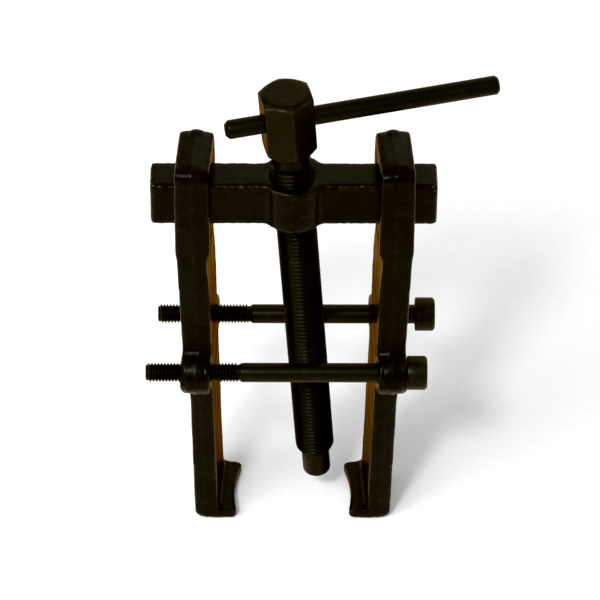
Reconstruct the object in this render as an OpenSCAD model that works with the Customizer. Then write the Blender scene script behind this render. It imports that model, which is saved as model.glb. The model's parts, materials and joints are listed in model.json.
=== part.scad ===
// Small two-legged gear and bearing puller with a forged crossbar.
// X runs from leg to leg, Y from front to back and Z up along the legs.
// The origin is the middle of the gripping plane, between the tops of the two claws.

/* [Crossbar] */
// Length of the crossbar, end to end
bar_len = 69; // [66:0.5:80]
// Depth of the crossbar, front to back
bar_d = 9.4; // [8.4:0.1:9.4]
// Height of the crossbar
bar_h = 12.3; // [11:0.1:12.5]
// Height of the crossbar's middle above the gripping plane
bar_z = 100.4; // [98:0.1:101]
// Radius of the boss around the screw thread
boss_r = 8; // [7:0.5:9]
// Radius of the long edges of the crossbar
bar_edge_r = 0.8; // [0.5:0.1:2]

/* [Centre screw] */
// Thread diameter over the crests, M10 x 1.25
thread_d = 9.86; // [9.6:0.02:9.9]
// Length of the thread, from the neck down to its end
thread_len = 100.6; // [90:0.1:106]
// Height of the neck, where thread and head meet, above the crossbar's middle
neck_s = 13.3; // [12:0.1:20]
// Width across the flats of the hexagon head
hex_af = 12; // [11:0.5:13]
// Height of the head, from the neck to its flat top
head_h = 18.1; // [14:0.1:20]
// How far the tapped hole and the screw lean out of square, in degrees
screw_lean = 3.8; // [0:0.1:3.8]
// Turn of the flats of the head about the screw, in degrees
head_turn = 14; // [0:0.5:60]
// How far the cross hole is drilled out of square to the flats, in degrees
hole_turn = -3.5; // [-5:0.5:5]

/* [Pressure tip] */
// Diameter of the pressure tip
tip_d = 7.1; // [6:0.1:8]
// Length of the pressure tip that shows below the thread
tip_len = 7.5; // [5:0.1:9]

/* [Tommy bar] */
// Diameter of the tommy bar
tommy_d = 4.6; // [4:0.1:5]
// Length of the tommy bar
tommy_len = 66.3; // [50:0.1:90]
// How far the short end of the tommy bar reaches from the screw axis
tommy_short = 15.1; // [10:0.1:30]

/* [Legs] */
// Depth of the legs, front to back
leg_d = 18.8; // [18.4:0.1:20]
// Thickness of the loop along the crossbar
loop_t = 8.5; // [8:0.1:9]
// Distance from the middle of the puller to the middle of each loop
loop_x = 23.85; // [22:0.05:26]
// Height of the top of the loop above the gripping plane
loop_top = 113.9; // [113:0.1:115]
// How far each leg is turned with its rear edge inwards, in degrees
leg_toe = 4; // [0:0.5:4]
// Distance from the middle of the puller to the corners of each claw
claw_x = 13.9; // [12:0.1:15]
// Thickness of the claws
claw_h = 3.4; // [3:0.1:5]
// Radius of the hollow edge of the claws, which clears the shaft
claw_arc_r = 30; // [20:1:60]

/* [Side bolts] */
// Distance between the two side bolts, centre to centre
bolt_gap = 21.4; // [21:0.1:23]
// Height of the side bolts above the gripping plane
bolt_z = 50.6; // [40:0.1:60]
// Length of the side bolts under the head, M5 x 0.8
bolt_len = 65; // [65:1:70]
// Distance from the middle of the puller to the underside of the front bolt's head
front_seat_x = 28.3; // [28.2:0.1:33]
// Distance from the middle of the puller to the underside of the rear bolt's head
rear_seat_x = 30.8; // [28.2:0.1:33]
// Radius of the round ears that hold the side bolts
ear_r = 5.6; // [5:0.1:6]

/* [Hidden] */
$fn = 64;

blackened = "#2a2522";          // black oxide on forged steel
worn = "#4a4039";               // the same finish, rubbed brown

cut = 1;                        // how far a cutter runs past a face
overlap = 0.1;                  // how far joined shapes reach into each other
through = 40;                   // length of cutters and blanks that pass a whole leg

bore_gap = 0.07;                // radial clearance of a running thread
bore_r = thread_d / 2 + bore_gap;
boss_fillet_r = 3;              // hollow blend between boss and crossbar

loop_gap_y = 0.55;              // play of the loop in front of and behind the crossbar
loop_gap_below = 0.25;
loop_gap_above = 1.55;
loop_in = loop_x - loop_t / 2;
loop_out = loop_x + loop_t / 2;
loop_corner_r = 2.6;
opening_r = 1;                  // corner radius inside the loop

blank_foot = -20;               // foot of the blank that only rounds the loop's top
cheek_z = bar_z - 12;           // where the cheeks of the loop end
shank_z = bar_z - 14;           // where the narrower shank starts

shank_in = 20.5;                // inner face just below the loop
hollow_in = 19.9;               // inner face where the hollow under the loop runs out
hollow_z = bar_z - 25;
foot_in = 18.7;                 // inner face just above the claw
shank_out = 27.8;               // outer face just below the loop
ear_in = 19.6;                  // inner face of the ears
ear_out = 27.1;
ear_z = 7;                      // half the height of the thicker stretch at the ears
upper_out = 27;                 // outer face just above the ears
lower_out = 25.35;              // outer face just below the ears
sole_out = 24.7;
sole_corner_r = 2.2;
claw_len = 8;                   // from the claw's corners to inside the shank
claw_root_r = 1.5;              // hollow blend between claw and shank
claw_root_in = 0.6;             // how far that blend reaches into the shank
claw_corner_r = 1.8;
claw_arc_depth = 1.1;           // depth of the hollow edge in the middle of the claw

bolt_d = 4.84;                  // M5 shank and crests
bolt_head_d = 8.5;
bolt_head_h = 5;
bolt_socket_af = 4;
bolt_socket_depth = 2.5;
tapped_r = bolt_d / 2 + 0.04;   // thread in the left leg
clear_r = 2.75;                 // clearance hole in the right leg
bolt_chamfer = 0.5;

stem_d = 3.6;                   // stem that holds the pressure tip in the screw
stem_len = 6;
stem_gap = 0.05;
stem_room = 0.5;                // free length above the stem
tip_edge_r = 1.3;
thread_chamfer = 1.3;           // radial
thread_chamfer_h = 2.2;

head_cone_h = 2;                // cone that runs from the head down to the neck
head_chamfer_h = 1.1;
head_face_inset = 0.95;         // how far the flat top stays inside the flats
tommy_s = neck_s + 9.8;         // height of the tommy bar above the crossbar's middle
tommy_gap = 0.1;
tommy_chamfer = 0.8;

// Places its children on the screw axis: +Z along the screw, zero at the crossbar's middle.
module on_screw() {
    translate([0, 0, bar_z]) rotate([0, -screw_lean, 0]) children();
}

// Places its children on the tommy bar: +Z along the bar, zero at the screw axis.
module on_tommy() {
    on_screw() translate([0, 0, tommy_s]) rotate([0, 90, head_turn + hole_turn]) children();
}

// Places its children on a side bolt: +Z along +X, zero in the middle of the puller.
module on_bolt(side) {
    translate([0, side * bolt_gap / 2, bolt_z]) rotate([0, 90, 0]) children();
}

// A rectangle with round corners, centred.
module rounded_rect(w, h, r) {
    square([w - 2 * r, h], center = true);
    square([w, h - 2 * r], center = true);
    for (x = [-1, 1], y = [-1, 1])
        translate([x * (w / 2 - r), y * (h / 2 - r)]) circle(r = r);
}

// A rod along +Z from z = 0, with a chamfer at both ends.
module chamfered_rod(r, h, c) {
    cylinder(r1 = r - c, r2 = r, h = c);
    translate([0, 0, c]) cylinder(r = r, h = h - 2 * c);
    translate([0, 0, h - c]) cylinder(r1 = r, r2 = r - c, h = c);
}

// Plan of one quarter of the hollow blend between the boss and a side of the crossbar.
module boss_fillet() {
    fillet_y = bar_d / 2 + boss_fillet_r;
    fillet_x = sqrt(pow(boss_r + boss_fillet_r, 2) - pow(fillet_y, 2));
    difference() {
        polygon([[0, 0], [fillet_x, 0], [fillet_x, fillet_y]]);
        translate([fillet_x, fillet_y]) circle(r = boss_fillet_r);
    }
}

module crossbar() {
    color(blackened) difference() {
        translate([0, 0, bar_z]) {
            rotate([0, 90, 0]) linear_extrude(bar_len, center = true)
                rounded_rect(bar_h, bar_d, bar_edge_r);
            cylinder(r = boss_r, h = bar_h, center = true);
            linear_extrude(bar_h - 2 * bar_edge_r, center = true)
                for (x = [0, 1], y = [0, 1]) mirror([x, 0]) mirror([0, y]) boss_fillet();
        }
        on_screw() cylinder(r = bore_r, h = 3 * bar_h, center = true);
    }
}

// The hexagon head, chamfered above and coned down to the neck below.
module screw_head() {
    corner_r = hex_af / sqrt(3);
    face_r = hex_af / 2 - head_face_inset;
    intersection() {
        rotate([0, 0, head_turn + 30]) cylinder(d = hex_af / cos(30), h = head_h, $fn = 6);
        union() {
            cylinder(r1 = thread_d / 2, r2 = corner_r, h = head_cone_h);
            translate([0, 0, head_cone_h])
                cylinder(r = corner_r, h = head_h - head_cone_h - head_chamfer_h);
            translate([0, 0, head_h - head_chamfer_h])
                cylinder(r1 = corner_r, r2 = face_r, h = head_chamfer_h);
        }
    }
}

module centre_screw() {
    thread_r = thread_d / 2;
    color(blackened) difference() {
        on_screw() {
            translate([0, 0, neck_s]) screw_head();
            translate([0, 0, neck_s - thread_len]) {
                translate([0, 0, thread_chamfer_h])
                    cylinder(r = thread_r, h = thread_len - thread_chamfer_h);
                cylinder(r1 = thread_r - thread_chamfer, r2 = thread_r, h = thread_chamfer_h);
            }
        }
        on_tommy() cylinder(d = tommy_d + 2 * tommy_gap, h = 2 * hex_af, center = true);
        on_screw() translate([0, 0, neck_s - thread_len - cut])
            cylinder(d = stem_d + 2 * stem_gap, h = stem_len + stem_room + cut);
    }
}

// The tip turns on a stem held in the end of the screw, so it doesn't drag on the shaft.
module pressure_tip() {
    color(worn) on_screw() translate([0, 0, neck_s - thread_len]) {
        cylinder(d = stem_d, h = stem_len);
        rotate([180, 0, 0]) rotate_extrude() {
            square([tip_d / 2, tip_len - tip_edge_r]);
            square([tip_d / 2 - tip_edge_r, tip_len]);
            translate([tip_d / 2 - tip_edge_r, tip_len - tip_edge_r]) circle(r = tip_edge_r);
        }
    }
}

module tommy_bar() {
    color(blackened) on_tommy() translate([0, 0, -tommy_short])
        chamfered_rod(tommy_d / 2, tommy_len, tommy_chamfer);
}

// Outline of a leg seen from the front, outward to +X.
module leg_outline() {
    polygon([
        [loop_in, loop_top], [loop_out, loop_top],
        [loop_out, cheek_z], [shank_out, shank_z],
        [upper_out, bolt_z + ear_z], [lower_out, bolt_z - ear_z],
        [sole_out, -claw_h + sole_corner_r], [sole_out - sole_corner_r, -claw_h],
        [foot_in, -claw_h], [foot_in, 0],
        [ear_in, bolt_z], [hollow_in, hollow_z], [shank_in, shank_z], [loop_in, cheek_z]]);
    translate([sole_out - sole_corner_r, sole_corner_r - claw_h]) circle(r = sole_corner_r);
}

// Plan of a claw: round corners and a hollow edge towards the shaft.
module claw_plan() {
    difference() {
        union() {
            translate([claw_x + claw_len / 2, 0]) rounded_rect(claw_len, leg_d, claw_corner_r);
            translate([claw_x + claw_len / 2, -leg_d / 2]) square([claw_len / 2, leg_d]);
        }
        translate([claw_x - claw_arc_r + claw_arc_depth, 0]) circle(r = claw_arc_r, $fn = 128);
    }
}

// One leg without its bolt holes, outward to +X and square to the crossbar.
module leg_forging() {
    root_x = foot_in - claw_root_r;
    difference() {
        union() {
            intersection() {
                rotate([90, 0, 0]) linear_extrude(leg_d, center = true) leg_outline();
                translate([0, 0, (loop_top + blank_foot) / 2]) rotate([0, 90, 0])
                    linear_extrude(through)
                        rounded_rect(loop_top - blank_foot, leg_d, loop_corner_r);
            }
            for (side = [-1, 1]) translate([ear_in, side * bolt_gap / 2, bolt_z])
                rotate([0, 90, 0]) cylinder(r = ear_r, h = ear_out - ear_in);
            translate([0, 0, -claw_h]) linear_extrude(claw_h) claw_plan();
            difference() {
                translate([root_x, -leg_d / 2 + claw_corner_r, -overlap])
                    cube([claw_root_r + claw_root_in, leg_d - 2 * claw_corner_r,
                          claw_root_r + overlap]);
                translate([root_x, 0, claw_root_r]) rotate([90, 0, 0])
                    cylinder(r = claw_root_r, h = leg_d + cut, center = true);
            }
        }
        translate([0, 0, bar_z + (loop_gap_above - loop_gap_below) / 2]) rotate([0, 90, 0])
            linear_extrude(through)
                rounded_rect(bar_h + loop_gap_above + loop_gap_below,
                             bar_d + 2 * loop_gap_y, opening_r);
    }
}

// A leg turned about the middle of its loop, with its two bolt holes along X.
module leg(hole_r) {
    difference() {
        translate([loop_x, 0, 0]) rotate([0, 0, leg_toe]) translate([-loop_x, 0, 0]) leg_forging();
        for (side = [-1, 1]) on_bolt(side) cylinder(r = hole_r, h = through);
    }
}

module left_leg() {
    color(blackened) mirror([1, 0, 0]) leg(tapped_r);
}

module right_leg() {
    color(blackened) leg(clear_r);
}

// A socket head bolt along +Z, with the underside of its head at z = 0.
module socket_bolt() {
    rotate([180, 0, 0]) chamfered_rod(bolt_d / 2, bolt_len, bolt_chamfer);
    translate([0, 0, -bolt_chamfer]) cylinder(d = bolt_d, h = bolt_chamfer + overlap);
    difference() {
        union() {
            cylinder(d = bolt_head_d, h = bolt_head_h - bolt_chamfer);
            translate([0, 0, bolt_head_h - bolt_chamfer])
                cylinder(d1 = bolt_head_d, d2 = bolt_head_d - 2 * bolt_chamfer, h = bolt_chamfer);
        }
        translate([0, 0, bolt_head_h - bolt_socket_depth])
            cylinder(d = bolt_socket_af / cos(30), h = bolt_socket_depth + cut, $fn = 6);
    }
}

module front_side_bolt() {
    color(blackened) on_bolt(-1) translate([0, 0, front_seat_x]) socket_bolt();
}

module rear_side_bolt() {
    color(blackened) on_bolt(1) translate([0, 0, rear_seat_x]) socket_bolt();
}

crossbar();
centre_screw();
pressure_tip();
tommy_bar();
left_leg();
right_leg();
front_side_bolt();
rear_side_bolt();
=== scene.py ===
import json
import math

import bmesh
import bpy
import numpy as np
from mathutils import Matrix, Vector, noise


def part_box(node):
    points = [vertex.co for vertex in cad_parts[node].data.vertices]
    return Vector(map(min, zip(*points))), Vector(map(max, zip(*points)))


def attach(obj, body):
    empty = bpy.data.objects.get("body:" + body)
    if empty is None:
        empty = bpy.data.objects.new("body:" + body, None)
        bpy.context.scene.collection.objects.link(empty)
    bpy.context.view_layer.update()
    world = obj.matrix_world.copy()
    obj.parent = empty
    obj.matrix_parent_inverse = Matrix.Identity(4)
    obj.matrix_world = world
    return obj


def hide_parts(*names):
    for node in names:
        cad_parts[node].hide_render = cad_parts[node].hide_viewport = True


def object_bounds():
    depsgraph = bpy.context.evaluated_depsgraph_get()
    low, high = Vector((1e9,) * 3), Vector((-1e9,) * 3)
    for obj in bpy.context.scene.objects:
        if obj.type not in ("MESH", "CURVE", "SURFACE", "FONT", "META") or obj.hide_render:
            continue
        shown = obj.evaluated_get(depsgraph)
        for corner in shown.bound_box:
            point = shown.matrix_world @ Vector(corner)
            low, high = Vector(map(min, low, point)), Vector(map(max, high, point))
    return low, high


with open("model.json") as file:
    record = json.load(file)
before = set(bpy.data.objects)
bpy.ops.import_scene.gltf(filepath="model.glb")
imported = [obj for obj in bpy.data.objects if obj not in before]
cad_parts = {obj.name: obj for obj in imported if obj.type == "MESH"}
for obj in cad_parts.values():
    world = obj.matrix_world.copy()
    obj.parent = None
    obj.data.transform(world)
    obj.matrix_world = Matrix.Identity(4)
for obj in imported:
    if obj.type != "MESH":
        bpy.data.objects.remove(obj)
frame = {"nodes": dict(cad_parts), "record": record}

cad_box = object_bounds()
MM = 0.001
record = frame["record"]
joints = {j["name"]: j for j in record["behaviour"]["joints"]}
mounts = {m["name"]: m for m in record["mounts"]}


# ---------------------------------------------------------------- frame

def node_points(node):
    """The vertices of a CAD node, in metres."""
    return np.array([v.co for v in frame["nodes"][node].data.vertices], float)


def along(origin, axis, first=(1, 0, 0)):
    """A matrix with its origin there, +Z along axis, and +X near first."""
    z = Vector(axis).normalized()
    x = (Vector(first) - z * Vector(first).dot(z)).normalized()
    m = Matrix((x, z.cross(x), z)).transposed().to_4x4()
    m.translation = Vector(origin)
    return m


def to_local(co, matrix):
    """Points in the axes of a matrix."""
    inv = np.array(matrix.inverted())
    return co @ inv[:3, :3].T + inv[:3, 3]


def span(node, matrix):
    """Lowest and highest station of a node along a matrix's Z."""
    z = np.array(matrix.col[2][:3])
    s = (node_points(node) - np.array(matrix.translation)) @ z
    return s.min(), s.max()


screw = along(joints["screw_spin"]["pos_m"], joints["screw_spin"]["axis"])
screw_inv = screw.inverted()
head_top = (screw_inv @ Vector(mounts["screw_head"]["pos_m"])).z
tip_size = mounts["tip"]["dims"]
tip_r = tip_size["r_mm"] * MM
thread_end = (screw_inv @ Vector(mounts["tip"]["pos_m"])).z + tip_size["length_mm"] * MM / 2
tip_end = span("pressure_tip", screw)[0]

bar_dir = Vector(joints["bar_slide"]["axis"])
bar_low, bar_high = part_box("tommy_bar")
bar_mid = (bar_low + bar_high) / 2
bar_station = (screw_inv @ (bar_mid - bar_dir * ((bar_mid - screw.translation).dot(bar_dir)))).z
tommy = along(screw @ Vector((0, 0, bar_station)), bar_dir, (0, 0, 1))


# ---------------------------------------------------------------- sizes

LOOP_MID = 7.85 * MM            # middle of the loop's thickness, outward from the claw-face mount
FOOT_MID = 5.7 * MM             # the same at the foot
EAR_OUT = 0.4 * MM              # how far the ears' middle is outward of the shank's
EAR_R = 5.6 * MM
EAR_FILLET = 2.2 * MM
EAR_REACH = 3.6 * MM            # half the thickness over the ears
CLEAR_HOLE_R = 2.75 * MM        # in the right leg
TAPPED_HOLE_R = 2.5 * MM        # in the left leg
WIDER = 0.45 * MM               # how far the top of the right leg stands further out

CROSSBAR_BORE_R = 5.0 * MM

THREAD_R = 4.93 * MM
THREAD_PITCH = 1.25 * MM
THREAD_START_R = 3.63 * MM
THREAD_START = 2.2 * MM         # length of the cone that the thread starts on
RUN_OUT = 3.4 * MM              # from the end of the thread to the head's neck
HEAD_H = 18.1 * MM
HEAD_ACROSS = 12 * MM
HOLE_SKEW = math.radians(3.5)   # the cross hole is this far out of square to the flats
BAR_PLAY = 0.12 * MM            # around the bar in the cross hole
STEM_R = 1.8 * MM
STEM_LEN = 6 * MM

BOLT_R = 2.42 * MM
BOLT_PITCH = 0.8 * MM
BOLT_THREAD = 23.2 * MM
BOLT_START_R = 1.75 * MM
BOLT_HEAD_R = 4.25 * MM
BOLT_HEAD_H = 5 * MM
SOCKET_ACROSS = 4 * MM
SOCKET_DEPTH = 2.5 * MM

VOXEL = 0.32 * MM               # of the remeshed forgings
THREAD_DEPTH = 0.6134           # of a metric thread, in pitches
# One turn of a thread's outline: station in pitches, and share of the depth
THREAD_PROFILE = ((0.0, 0.0), (0.125, 0.0), (0.46, 0.93), (0.56, 1.0), (0.66, 0.93))


# ---------------------------------------------------------------- mesh tools

def make_object(name, verts, faces, sharp=35):
    """A smooth-shaded object, with edges marked sharp above an angle in degrees."""
    mesh = bpy.data.meshes.new(name)
    mesh.from_pydata([tuple(v) for v in verts], [], faces)
    bm = bmesh.new()
    bm.from_mesh(mesh)
    bmesh.ops.remove_doubles(bm, verts=bm.verts, dist=1e-7)
    bmesh.ops.dissolve_degenerate(bm, edges=bm.edges, dist=1e-7)
    bmesh.ops.recalc_face_normals(bm, faces=bm.faces)
    bm.to_mesh(mesh)
    bm.free()
    mesh.shade_smooth()
    mesh.set_sharp_from_angle(angle=math.radians(sharp))
    obj = bpy.data.objects.new(name, mesh)
    bpy.context.scene.collection.objects.link(obj)
    return obj


def fillet(points, radii, steps):
    """A polyline with each inner corner rounded to its radius."""
    out = [points[0]]
    for i in range(1, len(points) - 1):
        p, r = np.array(points[i], float), radii.get(i, 0)
        a, b = np.array(points[i - 1]) - p, np.array(points[i + 1]) - p
        la, lb = np.linalg.norm(a), np.linalg.norm(b)
        if r <= 0 or la < 1e-9 or lb < 1e-9:
            out.append(tuple(p))
            continue
        a, b = a / la, b / lb
        half = math.acos(np.clip(a @ b, -1, 1)) / 2
        reach = min(r / math.tan(half), 0.49 * la, 0.49 * lb)
        for k in range(steps + 1):
            t = k / steps
            q = (1 - t) ** 2 * (p + a * reach) + 2 * t * (1 - t) * p + t * t * (p + b * reach)
            out.append(tuple(q))
    out.append(points[-1])
    return out


def even_angles(n):
    return np.arange(n) * 2 * np.pi / n


def ring(angles, radius, station):
    """One ring of points about Z. radius and station may each be one value or one per angle."""
    return np.stack([radius * np.cos(angles), radius * np.sin(angles), station + 0 * angles], 1)


def closed_rings(rings, verts, faces, cap_first, cap_last):
    """Adds a stack of rings joined by quads, with a fan over either end."""
    n, start = len(rings[0]), len(verts)
    for r in rings:
        verts.extend(r)
    for i in range(len(rings) - 1):
        a, b = start + i * n, start + (i + 1) * n
        faces.extend((a + k, a + (k + 1) % n, b + (k + 1) % n, b + k) for k in range(n))
    if cap_first:
        verts.append(rings[0].mean(0))
        faces.extend((len(verts) - 1, start + (k + 1) % n, start + k) for k in range(n))
    if cap_last:
        last = start + (len(rings) - 1) * n
        verts.append(rings[-1].mean(0))
        faces.extend((len(verts) - 1, last + k, last + (k + 1) % n) for k in range(n))


def thread_surface(verts, faces, angles, radius, pitch, low, high, start_r, lead):
    """Adds a right-hand V thread, and gives its root's radius.

    It starts at low on a cone that is start_r there and lead long, and fades to its root at high.
    """
    n, p = len(angles), len(THREAD_PROFILE)
    root = radius - THREAD_DEPTH * pitch
    turns = math.ceil((high - low) / pitch) + 2
    start = len(verts)
    for k in range(n * turns + 1):
        a = angles[k % n]
        for u, d in THREAD_PROFILE:
            s = low + pitch * (k // n + a / (2 * math.pi) + u - 1)
            s = min(max(s, low), high)
            cone = start_r + (s - low) * (radius - start_r) / lead
            r = min(radius - THREAD_DEPTH * pitch * d, cone, root + (high - s))
            verts.append((r * math.cos(a), r * math.sin(a), s))
    for k in range(n * turns):
        a, b = start + k * p, start + (k + 1) * p
        faces.extend((a + j, b + j, b + j + 1, a + j + 1) for j in range(p - 1))
        if k + n < n * turns:
            faces.append((a + p - 1, b + p - 1, b + n * p, a + n * p))
    return root


def hexagon_radius(angles, across, turn, corner=0.0):
    """Polar radius of a hexagon that has a flat facing turn, with rounded corners."""
    a = across / 2
    phi = (angles - turn) % (math.pi / 3)
    phi = np.abs(np.where(phi > math.pi / 6, phi - math.pi / 3, phi))
    r = a / np.cos(phi)
    if corner > 0:
        centre = (a - corner) / math.cos(math.pi / 6)
        off = math.pi / 6 - phi
        inside = corner ** 2 - (centre * np.sin(off)) ** 2
        arc = centre * np.cos(off) + np.sqrt(np.maximum(inside, 0))
        tangent = math.pi / 6 - math.atan((a - corner) * math.tan(math.pi / 6) / a)
        r = np.where(off < tangent, arc, r)
    return r


def prism(section, low, high, place):
    """A closed prism. section is a polygon of (across, up); place maps (along, across, up) to a point."""
    n = len(section)
    verts = [place(x, a, b) for x in (low, high) for a, b in section]
    faces = [tuple(range(n))[::-1], tuple(range(n, 2 * n))]
    faces += [(i, (i + 1) % n, n + (i + 1) % n, n + i) for i in range(n)]
    return verts, faces


def bake(obj):
    """Applies an object's modifiers."""
    graph = bpy.context.evaluated_depsgraph_get()
    mesh = bpy.data.meshes.new_from_object(obj.evaluated_get(graph))
    obj.modifiers.clear()
    old, obj.data = obj.data, mesh
    bpy.data.meshes.remove(old)


def cut(obj, cutter):
    """Subtracts one closed object from another and removes it."""
    mod = obj.modifiers.new("cut", "BOOLEAN")
    mod.operation, mod.solver, mod.object = "DIFFERENCE", "EXACT", cutter
    bake(obj)
    bpy.data.objects.remove(cutter)


def vertex_array(mesh):
    co = np.zeros(len(mesh.vertices) * 3)
    mesh.vertices.foreach_get("co", co)
    return co.reshape(-1, 3)


def normal_array(mesh):
    mesh.update()
    n = np.zeros(len(mesh.vertices) * 3, np.float32)
    mesh.vertex_normals.foreach_get("vector", n)
    return n.reshape(-1, 3).astype(float)


def set_vertices(mesh, co):
    mesh.vertices.foreach_set("co", co.ravel())
    mesh.update()


def store(mesh, name, values):
    """Stores one number per vertex, for the materials."""
    attribute = mesh.attributes.new(name, "FLOAT", "POINT")
    attribute.data.foreach_set("value", np.asarray(values, np.float32))


def neighbours_mean(mesh):
    """A function that gives each vertex the mean of its neighbours' values."""
    e = np.zeros(len(mesh.edges) * 2, np.int64)
    mesh.edges.foreach_get("vertices", e)
    a, b = e.reshape(-1, 2).T
    n = len(mesh.vertices)
    count = np.bincount(np.concatenate([a, b]), minlength=n).astype(float)

    def mean(v):
        sums = [np.bincount(a, v[b, i], n) + np.bincount(b, v[a, i], n) for i in range(v.shape[1])]
        return np.stack(sums, 1) / count[:, None]
    return mean


def soften(mesh, weight, rounds):
    """Rounds a mesh's edges off, more where the weight is higher."""
    mean = neighbours_mean(mesh)
    co = vertex_array(mesh)
    for _ in range(rounds):
        co += 0.6 * weight[:, None] * (mean(co) - co)
    set_vertices(mesh, co)


def convexity(mesh):
    """How far each vertex stands out from its neighbours, in millimetres."""
    mean = neighbours_mean(mesh)
    co, nor = vertex_array(mesh), normal_array(mesh)
    out = ((co - mean(co)) * nor).sum(1)[:, None]
    for _ in range(3):
        out = 0.5 * out + 0.5 * mean(out)
    return out[:, 0] / MM


def rough(points, scale, octaves, seed):
    """Smooth noise about zero at each point. scale is the size of a bump, in metres."""
    shift = Vector((seed * 1.7, seed * 3.1, seed * 5.3))
    return np.array([noise.fractal(Vector(p) / scale + shift, 1.0, 2.0, octaves) for p in points])


def smoothstep(x, low, high):
    t = np.clip((x - low) / (high - low), 0, 1)
    return t * t * (3 - 2 * t)


def band(values, middle, half):
    """1 at the middle of a band, and 0 from half its width on."""
    return np.clip(1 - np.abs(values - middle) / half, 0, 1)


def forged(name, node, extras=(), rounds=7):
    """A CAD node's solid, with extra solids joined on, remade as one soft-edged skin."""
    source = frame["nodes"][node].data
    verts = [tuple(v.co) for v in source.vertices]
    faces = [tuple(p.vertices) for p in source.polygons]
    for more_verts, more_faces in extras:
        base = len(verts)
        verts += [tuple(v) for v in more_verts]
        faces += [tuple(base + i for i in f) for f in more_faces]
    mesh = bpy.data.meshes.new(name)
    mesh.from_pydata(verts, [], faces)
    obj = bpy.data.objects.new(name, mesh)
    bpy.context.scene.collection.objects.link(obj)
    mod = obj.modifiers.new("skin", "REMESH")
    mod.mode, mod.voxel_size, mod.adaptivity = "VOXEL", VOXEL, 0
    bake(obj)
    soften(obj.data, np.ones(len(obj.data.vertices)), rounds)
    obj.data.shade_smooth()
    return obj


def dented(mesh):
    """Where a forging's edges stand out enough to be dented, from 0 to 1."""
    return smoothstep(convexity(mesh), 0.008, 0.022)


def edge_wear_and_highlight(obj, gain):
    """Stores wear and painted highlight on each vertex, from 0 to 1: edges that stand out wear first and
    are painted lighter as a highlight.
    """
    store(obj.data, "wear_and_highlight", np.clip(convexity(obj.data) * gain, 0, 1))


def mark(obj, matrix, wear_and_highlight):
    """Stores wear and painted highlight on a turned part. The function given takes radii and stations, in
    metres, about the matrix's Z.
    """
    local = to_local(vertex_array(obj.data), matrix)
    store(obj.data, "wear_and_highlight", np.clip(wear_and_highlight(np.hypot(local[:, 0], local[:, 1]), local[:, 2]), 0, 1))


def into_bore(co, matrix, radius, reach, low, high):
    """Moves the points just around a hole's wall onto it, with a chamfer at either mouth."""
    local = to_local(co, matrix)
    r = np.hypot(local[:, 0], local[:, 1])
    wall = (r < reach) & (local[:, 2] > low) & (local[:, 2] < high)
    depth = np.minimum(local[:, 2] - low, high - local[:, 2])
    mouth = radius + np.clip(0.45 * MM - depth, 0, None)
    new = np.where(wall, np.maximum(mouth, r), r)
    snug = wall & (r < radius + 0.3 * MM) & (depth > 0.5 * MM)
    new = np.where(snug, radius, new)
    local[:, :2] *= (new / np.maximum(r, 1e-9))[:, None]
    m = np.array(matrix)
    return local @ m[:3, :3].T + m[:3, 3]


# ---------------------------------------------------------------- materials

STRAW = (0.87, 0.79, 0.66)          # oil film on turned surfaces
CLEAR = (0.94, 0.88, 0.79)          # oil film on the forgings
GOLD = (0.878, 0.80, 0.66)          # oil film on the legs' inner faces
RUBBED_STEEL_AND_HIGHLIGHT = (0.060, 0.052, 0.040)      # steel that shows through on rubbed edges, and painted highlight on edges, rims and thread crests
THREAD_PAINTED_SHADE = (0.26, 0.34, 0.40)    # painted shade on the screw's thread: the share of its colour that is kept

# Black oxide, from its darkest to its palest patches
FORGED_OXIDE = (0.0024, 0.0024, 0.0027), (0.0042, 0.0042, 0.0048)
SCREW_OXIDE = (0.0056, 0.0053, 0.0046), (0.0090, 0.0083, 0.0070)
BAR_OXIDE = (0.0054, 0.0060, 0.0050), (0.0080, 0.0086, 0.0072)
BOLT_OXIDE = (0.0062, 0.0068, 0.0066), (0.0096, 0.0102, 0.0100)


def new_material(name, metallic, ior, tinted=False):
    """A material whose coat, where asked for, tints grazing reflections and adds none of its own."""
    mat = bpy.data.materials.new(name)
    mat.use_nodes = True
    tree = mat.node_tree
    shader = tree.nodes["Principled BSDF"]
    shader.inputs["Metallic"].default_value = metallic
    shader.inputs["IOR"].default_value = ior
    if tinted:
        shader.inputs["Coat Weight"].default_value = 1.0
        shader.inputs["Coat IOR"].default_value = 1.0
    return mat, tree, shader


def feed(tree, socket, value):
    """Links a socket to a node's output, or sets it to a number or colour."""
    if isinstance(value, bpy.types.NodeSocket):
        tree.links.new(value, socket)
    else:
        socket.default_value = value


def add(tree, kind, **inputs):
    node = tree.nodes.new(kind)
    for key, value in inputs.items():
        feed(tree, node.inputs[key.replace("_", " ")], value)
    return node


def coordinates(tree):
    return tree.nodes.new("ShaderNodeTexCoord").outputs["Object"]


def stored(tree, name):
    """What store() left on the mesh."""
    node = tree.nodes.new("ShaderNodeAttribute")
    node.attribute_name = name
    return node.outputs["Fac"]


def noise_node(tree, coords, scale, detail, roughness=0.55):
    node = add(tree, "ShaderNodeTexNoise", Vector=coords, Scale=scale, Detail=detail, Roughness=roughness)
    return node.outputs["Fac"]


def ramp(tree, fac, *stops):
    """Two stops, each a position with a grey or a colour."""
    node = add(tree, "ShaderNodeValToRGB", Fac=fac)
    for element, (position, colour) in zip(node.color_ramp.elements, stops):
        element.position = position
        element.color = (*colour, 1) if isinstance(colour, tuple) else (colour, colour, colour, 1)
    return node.outputs["Color"]


def mix(tree, fac, a, b, blend="MIX"):
    node = tree.nodes.new("ShaderNodeMix")
    node.data_type, node.blend_type = "RGBA", blend
    feed(tree, node.inputs[0], fac)
    for socket, colour in ((node.inputs[6], a), (node.inputs[7], b)):
        feed(tree, socket, (*colour, 1) if isinstance(colour, tuple) else colour)
    return node.outputs[2]


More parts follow.
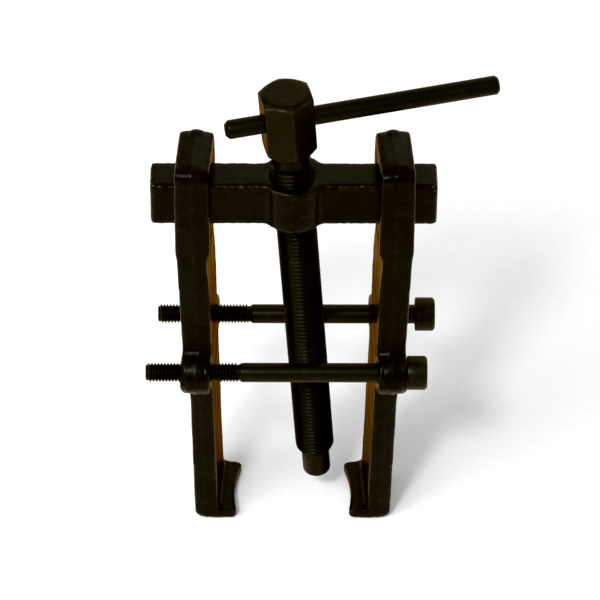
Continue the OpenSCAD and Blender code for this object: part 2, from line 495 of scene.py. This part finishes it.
def multiply(tree, a, b):
    node = tree.nodes.new("ShaderNodeMath")
    node.operation = "MULTIPLY"
    tree.links.new(a, node.inputs[0])
    tree.links.new(b, node.inputs[1])
    return node.outputs[0]


def bump(tree, height, distance, strength, normal=None):
    node = add(tree, "ShaderNodeBump", Height=height, Distance=distance, Strength=strength)
    if normal is not None:
        tree.links.new(normal, node.inputs["Normal"])
    return node.outputs["Normal"]


def oxide(tree, coords, colours, roughness, speckle_scale):
    """What every blackened surface shares: its speckle, colour and roughness."""
    patches = noise_node(tree, coords, 75, 5)
    speckle = noise_node(tree, coords, speckle_scale, 6, 0.65)
    low, high = colours
    pale = tuple(2.1 * c for c in high)
    colour = ramp(tree, patches, (0.3, low), (0.7, high))
    colour = mix(tree, ramp(tree, speckle, (0.55, 0.0), (0.72, 0.6)), colour, pale)
    # wear and painted highlight: where stored, the colour turns to rubbed steel, which also paints
    # highlights on edges and rims
    wear_and_highlight = multiply(tree, stored(tree, "wear_and_highlight"), ramp(tree, speckle, (0.40, 0.1), (0.60, 1.0)))
    colour = mix(tree, wear_and_highlight, colour, RUBBED_STEEL_AND_HIGHLIGHT)
    base = ramp(tree, patches, (0.3, roughness[0]), (0.7, roughness[1]))
    return speckle, colour, mix(tree, wear_and_highlight, base, (0.28, 0.28, 0.28))


def forged_material():
    """Black oxide over a forging's scale. Its oil film is golden on the legs' inner faces."""
    mat, tree, shader = new_material("forged_black_oxide", 1.0, 1.0, tinted=True)
    coords = coordinates(tree)
    speckle, colour, roughness = oxide(tree, coords, FORGED_OXIDE, (0.22, 0.30), 420)
    patches = ramp(tree, noise_node(tree, coords, 130, 4), (0.3, 0.8), (0.6, 1.0))
    film = mix(tree, multiply(tree, stored(tree, "inner"), patches), CLEAR, GOLD)
    tree.links.new(colour, shader.inputs["Base Color"])
    tree.links.new(film, shader.inputs["Coat Tint"])
    tree.links.new(roughness, shader.inputs["Roughness"])
    grain = noise_node(tree, coords, 1500, 3, 0.7)
    normal = bump(tree, speckle, 0.00012, 0.35)
    normal = bump(tree, grain, 0.00004, 0.4, normal)
    tree.links.new(normal, shader.inputs["Normal"])
    return mat


def machined_material(name, axis_matrix, lathe_scale, colours, shade_painted_below=None):
    """Black oxide over turned steel, with fine rings about the part's own axis.

    It is darker below the station given as its last argument, where there is one: painted shade for the
    thread's grooves.
    """
    mat, tree, shader = new_material(name, 1.0, 1.0, tinted=True)
    shader.inputs["Coat Tint"].default_value = (*STRAW, 1)
    coords = coordinates(tree)
    place = tree.nodes.new("ShaderNodeMapping")
    place.vector_type = "TEXTURE"
    place.inputs["Location"].default_value = axis_matrix.translation
    place.inputs["Rotation"].default_value = axis_matrix.to_euler()
    tree.links.new(coords, place.inputs["Vector"])
    own = place.outputs["Vector"]
    stretch = add(tree, "ShaderNodeMapping", Vector=own, Scale=(60, 60, lathe_scale))
    rings = noise_node(tree, stretch.outputs["Vector"], 1, 3, 0.6)
    speckle, colour, patchy = oxide(tree, coords, colours, (0.25, 0.36), 560)
    # painted shade: the thread below the head's neck is darkened to stand in for the shade in its grooves
    if shade_painted_below is not None:
        station = add(tree, "ShaderNodeSeparateXYZ", Vector=own).outputs["Z"]
        unshaded = add(tree, "ShaderNodeMapRange", Value=station,
                  From_Min=shade_painted_below - 3 * MM, From_Max=shade_painted_below)
        tinted = mix(tree, 1.0, colour, THREAD_PAINTED_SHADE, "MULTIPLY")
        colour = mix(tree, unshaded.outputs["Result"], tinted, colour)
    tree.links.new(colour, shader.inputs["Base Color"])
    roughness = mix(tree, 0.4, patchy, ramp(tree, rings, (0.3, 0.26), (0.7, 0.42)))
    tree.links.new(roughness, shader.inputs["Roughness"])
    normal = bump(tree, rings, 0.00003, 0.4)
    normal = bump(tree, speckle, 0.00006, 0.3, normal)
    tree.links.new(normal, shader.inputs["Normal"])
    return mat


def floor_material():
    mat, tree, shader = new_material("floor_paper", 0.0, 1.4)
    fibre = noise_node(tree, coordinates(tree), 300, 4)
    tree.links.new(ramp(tree, fibre, (0.3, 0.86), (0.7, 0.88)), shader.inputs["Base Color"])
    shader.inputs["Roughness"].default_value = 0.9
    shader.inputs["Specular IOR Level"].default_value = 0.1
    return mat


forged_steel = forged_material()
screw_steel = machined_material("screw_black_oxide", screw, 2600, SCREW_OXIDE, head_top - HEAD_H)
bar_steel = machined_material("bar_black_oxide", tommy, 2200, BAR_OXIDE)


def finish(obj, material, body, slot, *nodes):
    """Gives a piece its material and the body it rides on, and hides the CAD nodes it replaces. slot is
    not used.
    """
    obj.data.materials.clear()
    obj.data.materials.append(material)
    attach(obj, body)
    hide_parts(*nodes)
    return obj


# ---------------------------------------------------------------- legs

def ear_fillet(half_depth, ear_y):
    """Outline of the fillet between an ear and the shank's edge, as (across, up) from the ear's height."""
    cy = half_depth + EAR_FILLET
    cz = math.sqrt((EAR_R + EAR_FILLET) ** 2 - (cy - ear_y) ** 2)
    ey = ear_y + (cy - ear_y) * EAR_R / (EAR_R + EAR_FILLET)
    ez = cz * EAR_R / (EAR_R + EAR_FILLET)
    first, last = math.pi, math.atan2(ez - cz, ey - cy) + 2 * math.pi
    turns = [first + (last - first) * t / 6 for t in range(7)]
    arc = [(cy + EAR_FILLET * math.cos(a), cz + EAR_FILLET * math.sin(a)) for a in turns]
    return [(half_depth - 1 * MM, cz), *arc, (half_depth - 1 * MM, ez - 2 * MM)]


def leg(name, side):
    """One leg. side is 1 on the right and -1 on the left.

    rel holds points in the leg's own axes: outward from the claw face, back, and up.
    """
    hand = name.split("_")[0]
    claw = Vector(mounts[f"{hand}_claw_face"]["pos_m"])
    sole = Vector(mounts[f"{hand}_sole"]["pos_m"])
    out = Vector((sole.x - claw.x, sole.y - claw.y, 0)).normalized()
    back = Vector((-out.y, out.x, 0)) * side
    axes = np.stack([np.array(out), np.array(back), np.array((0, 0, 1.0))])
    bolt_y = [joints[f"{end}_bolt_spin"]["pos_m"][1] for end in ("front", "rear")]
    bolt_z = joints["front_bolt_spin"]["pos_m"][2]
    top_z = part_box(name)[1].z
    window_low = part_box("crossbar")[0].z - 2 * MM
    window_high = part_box("crossbar")[1].z + 3 * MM

    def place(x, y, z):
        return claw + out * x + back * y + Vector((0, 0, z - claw.z))

    def relative(co):
        return (co - np.array(claw)) @ axes.T

    def in_window(rel):
        """Which points are inside the loop."""
        return ((np.abs(rel[:, 1]) < half_depth - 2 * MM)
                & (rel[:, 2] > window_low) & (rel[:, 2] < window_high))

    pts = relative(node_points(name))
    half_depth = np.abs(pts[np.abs(pts[:, 2] - top_z) < 6 * MM][:, 1]).max()
    outline = ear_fillet(half_depth, abs(bolt_y[0] - bolt_y[1]) / 2)
    ear_mid = FOOT_MID + (LOOP_MID - FOOT_MID) * bolt_z / top_z + EAR_OUT
    sections = [[(y * a, bolt_z + z * b) for a, b in outline] for y in (-1, 1) for z in (-1, 1)]
    fillets = [prism(section, ear_mid - EAR_REACH, ear_mid + EAR_REACH, place) for section in sections]
    obj = forged(name + "_forging", name, fillets)
    mesh = obj.data

    # edges rounded most at the ears and the loop's top, least at the claw
    rel = relative(vertex_array(mesh))
    on_ear = np.exp(-((rel[:, 2] - bolt_z) / (8 * MM)) ** 4)
    on_top = smoothstep(rel[:, 2], top_z - 9 * MM, top_z - 3 * MM)
    on_claw = (1 - smoothstep(rel[:, 2], 1 * MM, 4 * MM)) * (np.abs(rel[:, 0]) < 3.5 * MM)
    soften(mesh, ~in_window(rel) * np.clip(0.35 + on_ear + on_top - on_claw, 0.05, 1), 26)

    co, nor = vertex_array(mesh), normal_array(mesh)
    rel, nrm = relative(co), nor @ axes.T
    parting = FOOT_MID + (LOOP_MID - FOOT_MID) * np.clip(rel[:, 2] / top_z, 0, 1)
    parting = parting + EAR_OUT * np.exp(-((rel[:, 2] - bolt_z) / (7 * MM)) ** 2)
    rim = np.where(in_window(rel), 0, np.clip(1 - nrm[:, 0] ** 2, 0, 1))

    # draft to both sides of the parting line, and a low trimmed flash along it
    top = smoothstep(rel[:, 2], top_z - 3 * MM, top_z)
    draft = -(0.065 + 0.03 * top) * np.abs(rel[:, 0] - parting)
    wander = 0.25 * MM * rough(rel * np.array([0.1, 1, 1]), 6 * MM, 2, 2.0)
    flash = smoothstep(0.75 * MM - np.abs(rel[:, 0] - parting - wander), 0, 0.35 * MM)
    height = 0.04 * MM + 0.09 * MM * on_ear + 0.05 * MM * rough(rel, 3.5 * MM, 2, 4.0)

    # a low hump at the rear of the loop's top
    hump = np.exp(-((rel[:, 1] - half_depth + 2 * MM) / (1.6 * MM)) ** 2) * top
    wide = smoothstep(1.9 * MM - np.abs(rel[:, 0] - parting), 0, 1.0 * MM)
    move = rim * (draft + flash * height + 0.38 * MM * wide * hump)

    # scale-pitted skin, coarser on the ears' rims, nearly smooth on the claw's top, with dented edges
    skin = 0.022 * MM * rough(rel, 1.5 * MM, 3, 1.0) + 0.070 * MM * rough(rel, 7 * MM, 2, 3.0)
    on_rim = on_ear * smoothstep(np.abs(rel[:, 1]), half_depth - 2 * MM, half_depth)
    skin += on_rim * 0.17 * MM * rough(rel * np.array([1, 0.25, 0.25]), 0.8 * MM, 2, 8.0)
    dents = 0.10 * MM * rough(rel, 0.9 * MM, 2, 6.0) * dented(mesh)
    claw_top = (np.abs(rel[:, 2]) < 0.6 * MM) & (nrm[:, 2] > 0.8)
    co += nor * (move + np.where(claw_top, 0.4, 1) * skin + dents)[:, None]

    hole_r = CLEAR_HOLE_R if side > 0 else TAPPED_HOLE_R
    for y in bolt_y:
        x = co[np.hypot(co[:, 1] - y, co[:, 2] - bolt_z) < hole_r + 1.5 * MM, 0]
        bore = along((0, y, bolt_z), (1, 0, 0), (0, 0, 1))
        co = into_bore(co, bore, hole_r, hole_r + 0.55 * MM, x.min(), x.max())

    if side > 0:
        co += np.array(out) * (WIDER * smoothstep(rel[:, 2], 0, bolt_z + 10 * MM))[:, None]
        # the ears are flat under the bolts' heads
        for end, y in zip(("front", "rear"), bolt_y):
            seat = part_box(f"{end}_side_bolt")[1].x - BOLT_HEAD_H - 0.02 * MM
            r = np.hypot(co[:, 1] - y, co[:, 2] - bolt_z)
            limit = seat + 0.6 * np.clip(r - BOLT_HEAD_R - 0.05 * MM, 0, None)
            co[:, 0] = np.where(r < BOLT_HEAD_R + 0.8 * MM, np.minimum(co[:, 0], limit), co[:, 0])
    set_vertices(mesh, co)
    # convex edges lightened: wear, and a painted highlight along them
    edge_wear_and_highlight(obj, 6)
    store(mesh, "inner", smoothstep(-(normal_array(mesh) @ axes.T)[:, 0], 0.75, 0.96))
    return finish(obj, forged_steel, name, "forged_steel", name)


leg("left_leg", -1)
leg("right_leg", 1)


# ---------------------------------------------------------------- crossbar

def crossbar():
    low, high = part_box("crossbar")
    obj = forged("crossbar_forging", "crossbar", rounds=12)
    mesh = obj.data
    co, nor = vertex_array(mesh), normal_array(mesh)
    skin = 0.022 * MM * rough(co, 1.4 * MM, 3, 11.0) + 0.06 * MM * rough(co, 8 * MM, 2, 13.0)
    dents = 0.17 * MM * rough(co, 0.9 * MM, 2, 17.0) * dented(mesh)
    dents *= smoothstep(np.hypot(co[:, 0], co[:, 1]), 6.2 * MM, 7.2 * MM)    # none around the bore
    co += nor * (skin + dents)[:, None]
    reach = (high.z - low.z) / 2 + 0.2 * MM
    co = into_bore(co, screw, CROSSBAR_BORE_R, CROSSBAR_BORE_R + 0.6 * MM, -reach, reach)
    set_vertices(mesh, co)
    # convex edges lightened more than on the legs: wear, and a painted highlight along the top-front edge
    edge_wear_and_highlight(obj, 9)
    return finish(obj, forged_steel, "crossbar", "forged_steel", "crossbar")


crossbar()


# ---------------------------------------------------------------- centre screw, tip and bar

def bar_radius():
    local = to_local(node_points("tommy_bar"), tommy)
    return float(np.hypot(local[:, 0], local[:, 1]).max())


def cross_hole():
    """The cutter for the hole through the screw's head, with a countersink on either side."""
    r = bar_radius() + BAR_PLAY
    flat = HEAD_ACROSS / 2
    profile = [(r + 5 * MM, -11 * MM), (r + 5 * MM, -flat - 4.75 * MM), (r, -flat + 0.3 * MM),
               (r, flat - 0.3 * MM), (r + 5 * MM, flat + 4.75 * MM), (r + 5 * MM, 11 * MM)]
    verts, faces = [], []
    closed_rings([ring(even_angles(64), q, s) for q, s in profile], verts, faces, True, True)
    cutter = make_object("cutter", verts, faces)
    cutter.data.transform(tommy)
    return cutter


def centre_screw():
    flat_turn = math.atan2(*reversed((screw_inv.to_3x3() @ bar_dir).xy)) + HOLE_SKEW
    corners = [flat_turn + math.pi / 6 + k * math.pi / 3 for k in range(6)]
    near = [math.radians(d) for d in
            (-30, -24, -18, -12, -7, -3.2, -1.7, -0.8, 0, 0.8, 1.7, 3.2, 7, 12, 18, 24)]
    angles = np.sort(np.array([c + d for c in corners for d in near]) % (2 * math.pi))
    neck = head_top - HEAD_H
    run_out = neck - RUN_OUT
    verts, faces = [], []
    root = thread_surface(verts, faces, angles, THREAD_R, THREAD_PITCH, thread_end, run_out,
                          THREAD_START_R, THREAD_START)

    # the end face, with the bore for the stem of the tip
    bore_r = STEM_R + 0.1 * MM
    rings = [ring(angles, r, thread_end + s) for r, s in (
        (THREAD_START_R, 0.0), (THREAD_START_R - 0.15 * MM, 0.0), (STEM_R + 0.35 * MM, 0.0),
        (bore_r, 0.25 * MM), (bore_r, STEM_LEN + 0.5 * MM))]
    closed_rings(rings, verts, faces, False, True)

    # the hexagon head: neck, cone, flats, chamfer and top face
    hexagon = hexagon_radius(angles, HEAD_ACROSS, flat_turn, 0.35 * MM)
    cone_r, cone_slope = 4.7 * MM, math.tan(math.radians(46))
    cone_s = neck + 0.1 * MM
    low_edge = cone_s + (hexagon - cone_r) / cone_slope
    face_r, top_slope = 5.1 * MM, math.tan(math.radians(31))
    top_edge = head_top - (hexagon - face_r) * top_slope
    soft = 0.16 * MM
    rings = [ring(angles, r, s) for r, s in (
        (root, run_out),
        (root + 0.2 * MM, run_out + 0.2 * MM),
        (cone_r - 0.05 * MM, run_out + 0.7 * MM),
        (cone_r, run_out + 0.9 * MM),
        (cone_r, cone_s - 0.12 * MM),
        (cone_r + 0.12 * MM, cone_s + 0.12 * MM / cone_slope),
        ((cone_r + hexagon) / 2, (cone_s + low_edge) / 2),
        (hexagon - soft * cone_slope * 0.7, low_edge - soft * 0.7),
        (hexagon - 0.035 * MM, low_edge + 0.02 * MM),
        (hexagon, low_edge + soft * 1.6),
        (hexagon, head_top - 4 * MM),
        (hexagon, top_edge - soft * 4),
        (hexagon, top_edge - soft * 1.4),
        (hexagon - 0.04 * MM, top_edge - 0.01 * MM),
        (hexagon - soft * 1.3, top_edge + soft * 1.3 * top_slope),
        ((face_r + hexagon) / 2, (head_top + top_edge) / 2),
        (face_r + 0.2 * MM, head_top - 0.2 * MM * top_slope),
        (face_r - 0.02 * MM, head_top - 0.035 * MM),
        (face_r - 0.28 * MM, head_top),
        (face_r * 0.6, head_top - 0.02 * MM),
        (face_r * 0.2, head_top - 0.03 * MM))]
    closed_rings(rings, verts, faces, False, True)
    obj = make_object("centre_screw_m10", verts, faces, 38)
    obj.data.transform(screw)
    cut(obj, cross_hole())
    obj.data.set_sharp_from_angle(angle=math.radians(38))

    flat_r = HEAD_ACROSS / 2
    corner_r = flat_r / math.cos(math.pi / 6)

    # wear and painted highlight: lighter bands on the head's corners, chamfer and face rims, and the
    # thread's crests
    def wear_and_highlight(r, s):
        chamfer = head_top - (r - face_r) * top_slope
        corners = np.where(s > neck + 1 * MM, 0.16 * band(r, corner_r - 0.1 * MM, 0.16 * MM), 0)
        top_rim = np.where((r > flat_r - 0.1 * MM) & (s > head_top - 2 * MM),
                           0.9 * band(s, chamfer - 0.1 * MM, 0.22 * MM), 0)
        face_rim = np.where(s > head_top - 0.2 * MM, 0.10 * band(r, face_r - 0.1 * MM, 0.3 * MM), 0)
        crests = np.where(s < neck, 0.06 * band(r, THREAD_R, 0.15 * MM), 0)
        return corners + top_rim + face_rim + crests

    mark(obj, screw, wear_and_highlight)
    return finish(obj, screw_steel, "centre_screw", "machined_steel", "centre_screw")


def turned(name, outline, matrix):
    """A closed solid turned about a matrix's Z. outline runs from axis to axis."""
    angles = even_angles(72)
    verts, faces = [], []
    closed_rings([ring(angles, r, s) for r, s in outline[1:-1]], verts, faces, True, True)
    obj = make_object(name, verts, faces)
    obj.data.transform(matrix)
    return obj


def pressure_tip():
    straight = thread_end - tip_end
    groove_r = tip_r - 0.22 * MM
    outline = [(0.0, -straight), (tip_r * 0.4, -straight), (tip_r, -straight), (tip_r, -1.0 * MM),
               (tip_r, -0.45 * MM), (groove_r, -0.30 * MM), (groove_r, -0.02 * MM), (STEM_R, -0.02 * MM),
               (STEM_R, STEM_LEN - 0.3 * MM), (STEM_R - 0.3 * MM, STEM_LEN), (0.0, STEM_LEN)]
    outline = [(r, thread_end + s) for r, s in fillet(outline, {2: 1.45 * MM, 4: 0.1 * MM}, 7)]
    obj = turned("pressure_tip_turned", outline, screw)
    return finish(obj, bar_steel, "pressure_tip", "machined_steel", "pressure_tip")


def tommy_bar():
    low, high = span("tommy_bar", tommy)
    r = bar_radius()
    outline = [(0.0, low), (r - 0.85 * MM, low), (r, low + 0.95 * MM), (r, low + 4 * MM)]
    outline += [(r, low + (high - low) * t) for t in np.linspace(0.1, 0.9, 24)]
    outline += [(r, high - 3 * MM), (r, high - 0.75 * MM), (r - 0.7 * MM, high), (0.0, high)]
    n = len(outline)
    radii = {1: 0.35 * MM, 2: 0.4 * MM, n - 3: 0.5 * MM, n - 2: 0.5 * MM}
    obj = turned("tommy_bar_turned", fillet(outline, radii, 5), tommy)
    return finish(obj, bar_steel, "tommy_bar", "machined_steel", "tommy_bar")


centre_screw()
pressure_tip()
tommy_bar()


# ---------------------------------------------------------------- side bolts

def side_bolt(end):
    node = f"{end}_side_bolt"
    spin = joints[f"{end}_bolt_spin"]
    axis = along(spin["pos_m"], spin["axis"], (0, 0, 1))
    tip, top = span(node, axis)
    seat = top - BOLT_HEAD_H
    run = tip + BOLT_THREAD
    angles = even_angles(60)
    verts, faces = [], []
    closed_rings([ring(angles, BOLT_START_R, tip)], verts, faces, True, False)
    root = thread_surface(verts, faces, angles, BOLT_R, BOLT_PITCH, tip, run, BOLT_START_R, 0.75 * MM)

    body = [(root, run), (root + 0.1 * MM, run + 0.12 * MM), (BOLT_R, run + 0.75 * MM)]
    body += [(BOLT_R, run + (seat - run) * t) for t in (0.1, 0.3, 0.5, 0.7, 0.9)]
    body += [(BOLT_R, seat - 0.3 * MM), (BOLT_R + 0.3 * MM, seat), (BOLT_HEAD_R, seat),
             (BOLT_HEAD_R, seat + 2 * MM), (BOLT_HEAD_R, top - 0.6 * MM), (BOLT_HEAD_R - 0.55 * MM, top),
             (2.55 * MM, top), (2.32 * MM, top - 0.28 * MM)]
    n = len(body)
    radii = {2: 0.8 * MM, n - 7: 0.25 * MM, n - 6: 0.35 * MM, n - 4: 0.35 * MM, n - 3: 0.3 * MM,
             n - 2: 0.12 * MM}
    rings = [ring(angles, r, s) for r, s in fillet(body, radii, 4)]
    socket = hexagon_radius(angles, SOCKET_ACROSS, 0.3)
    rings += [ring(angles, socket, top - 0.42 * MM), ring(angles, socket, top - SOCKET_DEPTH),
              ring(angles, socket * 0.55, top - SOCKET_DEPTH - 0.25 * MM)]
    closed_rings(rings, verts, faces, False, True)
    obj = make_object(node + "_m5", verts, faces, 38)
    obj.data.transform(axis)

    # wear and painted highlight: lighter bands on the head's outer chamfer, by its seat and on the
    # thread's crests
    def wear_and_highlight(r, s):
        top_rim = np.where(r > 2.8 * MM, 0.9 * band(s, top - 0.25 * MM, 0.6 * MM), 0)
        low_rim = np.where(r > 4 * MM, 0.2 * band(s, seat + 0.2 * MM, 0.4 * MM), 0)
        crests = np.where(s < run, 0.05 * band(r, BOLT_R, 0.12 * MM), 0)
        return top_rim + low_rim + crests

    mark(obj, axis, wear_and_highlight)
    steel = machined_material(node + "_black_oxide", axis, 3000, BOLT_OXIDE)
    return finish(obj, steel, node, "bolt_steel", node)


side_bolt("front")
side_bolt("rear")


# ---------------------------------------------------------------- stage, light, camera

FLOOR_SIZE = 6.0                                # metres along each side
FLOOR_CELLS = 24
WORLD_STRENGTH = 0.66
BLACK_LEVEL = (0.0001, 0.0017, 0.0057)          # the warm blacks of a small camera
CAMERA_PLACE = (-0.0016, -0.6193, 0.6406)       # from the camera fitted to the threads
PITCH, YAW, ROLL = math.radians(42.89), math.radians(-0.3), math.radians(0.33)
FOCAL_LENGTH, SENSOR_WIDTH = 204.4, 36


def floor():
    z, n = cad_box[0].z, FLOOR_CELLS
    steps = [(i / n - 0.5) * FLOOR_SIZE for i in range(n + 1)]
    verts = [(x, y, z) for x in steps for y in steps]
    faces = [(i * (n + 1) + j, (i + 1) * (n + 1) + j, (i + 1) * (n + 1) + j + 1, i * (n + 1) + j + 1)
             for i in range(n) for j in range(n)]
    obj = make_object("floor", verts, faces)
    if obj.data.polygons[0].normal.z < 0:
        obj.data.flip_normals()
    obj.data.materials.append(floor_material())


def panel(name, azimuth, elevation, distance, size, power):
    """A soft light that faces the object. Azimuth 0 is in front, positive to the right."""
    a, e = math.radians(azimuth), math.radians(elevation)
    way = Vector((math.sin(a) * math.cos(e), -math.cos(a) * math.cos(e), math.sin(e)))
    light = bpy.data.lights.new(name, "AREA")
    light.shape, light.size, light.energy, light.color = "DISK", size, power, (1.0, 1.0, 1.0)
    obj = bpy.data.objects.new(name, light)
    obj.location = (cad_box[0] + cad_box[1]) / 2 + way * distance
    obj.rotation_euler = way.to_track_quat("Z", "Y").to_euler()
    bpy.context.scene.collection.objects.link(obj)


def surroundings():
    """A plain white world, and how the picture renders its darkest tones."""
    world = bpy.data.worlds.new("studio")
    world.use_nodes = True
    background = world.node_tree.nodes["Background"]
    background.inputs["Color"].default_value = (1.0, 1.0, 1.0, 1.0)
    background.inputs["Strength"].default_value = WORLD_STRENGTH
    bpy.context.scene.world = world
    view = bpy.context.scene.view_settings
    view.view_transform = "Standard"
    view.use_curve_mapping = True
    view.curve_mapping.black_level = BLACK_LEVEL
    view.curve_mapping.update()


def camera():
    level = math.cos(PITCH)
    forward = Vector((-math.sin(YAW) * level, math.cos(YAW) * level, -math.sin(PITCH)))
    right = Vector((math.cos(YAW), math.sin(YAW), 0))
    up = right.cross(forward)
    across = right * math.cos(ROLL) + up * math.sin(ROLL)
    upward = up * math.cos(ROLL) - right * math.sin(ROLL)
    lens = bpy.data.cameras.new("camera")
    lens.lens, lens.sensor_width = FOCAL_LENGTH, SENSOR_WIDTH
    lens.clip_start, lens.clip_end = 0.05, 20
    eye = bpy.data.objects.new("camera", lens)
    pose = Matrix((across, upward, -forward)).transposed().to_4x4()
    pose.translation = Vector(CAMERA_PLACE)
    eye.matrix_world = pose
    bpy.context.scene.collection.objects.link(eye)
    bpy.context.scene.camera = eye


floor()
panel("key", azimuth=-57, elevation=43, distance=0.62, size=0.42, power=2.7)
panel("front", azimuth=-24, elevation=49, distance=1.0, size=0.17, power=5.4)
panel("back", azimuth=170, elevation=44, distance=1.0, size=0.6, power=0.8)
surroundings()
camera()
